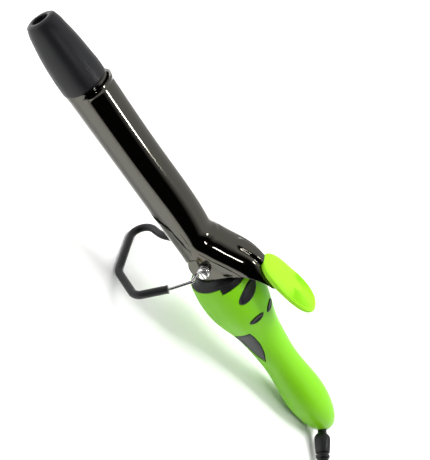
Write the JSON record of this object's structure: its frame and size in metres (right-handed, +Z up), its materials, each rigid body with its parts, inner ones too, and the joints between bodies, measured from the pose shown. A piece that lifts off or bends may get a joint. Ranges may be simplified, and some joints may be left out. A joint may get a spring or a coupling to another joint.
{
  "type": "curling iron",
  "caption": "Hand-held hair-curling iron with a round heated barrel, spring clamp and thumb lever, hinged wire table rest, soft-grip handle and swivelling mains cord.",
  "frame": {"origin": "on the table, under the middle of the iron without its cord", "axes": "+X from the cool tip to the cord end, +Z up, -Y the side with the large power button"},
  "size_m": [0.3609, 0.1676, 0.0973],
  "materials": {
    "charcoal_plastic": "fine matt grain",
    "barrel_plate": "polished dark chrome",
    "clamp_plate": "polished dark chrome",
    "lime_shell": "soft-touch satin",
    "lime_silicone": "matt silicone",
    "button_plastic": "satin black",
    "bright_steel": "polished",
    "plain_steel": "zinc plated",
    "sleeve_rubber": "satin",
    "cord_jacket": "satin",
    "tie_plastic": "satin",
    "blade_metal": "plated, lightly scuffed",
    "barrier_fibre": "moulded heat-proof fibre",
    "core_metal": "extruded",
    "element_ceramic": "sintered",
    "mica_sheet": "mica foil",
    "board_laminate": "solder mask",
    "component_black": "moulded",
    "lead_wire": "glass-fibre sleeved"
  },
  "bodies": {
    "body": {"cool_tip": "charcoal_plastic", "handle_collar": "charcoal_plastic", "grip_inset_front": "charcoal_plastic", "grip_inset_back": "charcoal_plastic", "barrel_tube": "barrel_plate", "handle_upper": "lime_shell", "handle_lower": "lime_shell", "pivot_screws": "bright_steel", "hinge_bracket": "bright_steel", "tip_screw": "plain_steel", "clamp_spring": "plain_steel", "handle_screws": "plain_steel", "mains_cord_lead": "cord_jacket", "mains_cord_tail": "cord_jacket", "mains_cord_coil": "cord_jacket", "plug_body": "cord_jacket", "cord_tie": "tie_plastic", "plug_blades": "blade_metal", "barrel_bush": "barrier_fibre", "end_plug": "barrier_fibre", "heater_core": "core_metal", "heater_element": "element_ceramic", "thermistor": "element_ceramic", "thermal_fuse": "element_ceramic", "mica_sleeve": "mica_sheet", "circuit_board": "board_laminate", "tact_switches": "component_black", "power_module": "component_black", "heater_leads": "lead_wire"},
    "clamp": {"clamp_lever": "clamp_plate", "thumb_pad": "lime_silicone"},
    "stand": {"stand_wire": "bright_steel", "stand_sleeve": "sleeve_rubber"},
    "power_key": {"power_button": "button_plastic"},
    "lock_key": {"lock_button": "button_plastic"},
    "cooler_key": {"cooler_button": "button_plastic"},
    "hotter_key": {"hotter_button": "button_plastic"},
    "swivel": {"cord_swivel": "charcoal_plastic", "strain_relief": "sleeve_rubber"}
  },
  "joints": [
    {"name": "clamp_hinge", "type": "hinge", "parent": "body", "child": "clamp", "pos_m": [-0.00157, 0.0032, 0.05169], "axis": [0, 1, 0], "range_deg": [0, 12], "stiffness_Nm_per_rad": 0.6, "springref_deg": -20.05},
    {"name": "stand_hinge", "type": "hinge", "parent": "body", "child": "stand", "pos_m": [-0.00157, 0.0032, 0.05169], "axis": [0, 1, 0], "range_deg": [0, 55]},
    {"name": "power_press", "type": "slide", "parent": "body", "child": "power_key", "axis": [-0.189, 0.5519, -0.8122], "range_m": [0, 0.0008], "stiffness_N_per_m": 1500, "springref_m": -0.0004},
    {"name": "lock_press", "type": "slide", "parent": "body", "child": "lock_key", "axis": [-0.189, -0.5519, -0.8122], "range_m": [0, 0.0008], "stiffness_N_per_m": 1500, "springref_m": -0.0004},
    {"name": "cooler_press", "type": "slide", "parent": "body", "child": "cooler_key", "axis": [-0.1487, 0.7547, -0.639], "range_m": [0, 0.0008], "stiffness_N_per_m": 1500, "springref_m": -0.0004},
    {"name": "hotter_press", "type": "slide", "parent": "body", "child": "hotter_key", "axis": [-0.2225, 0.1908, -0.9561], "range_m": [0, 0.0008], "stiffness_N_per_m": 1500, "springref_m": -0.0004},
    {"name": "cord_turn", "type": "hinge", "parent": "body", "child": "swivel", "pos_m": [0.16497, 0.0032, 0.01068], "axis": [0.3073, -0.9458, -0.1045], "continuous": true}
  ]
}
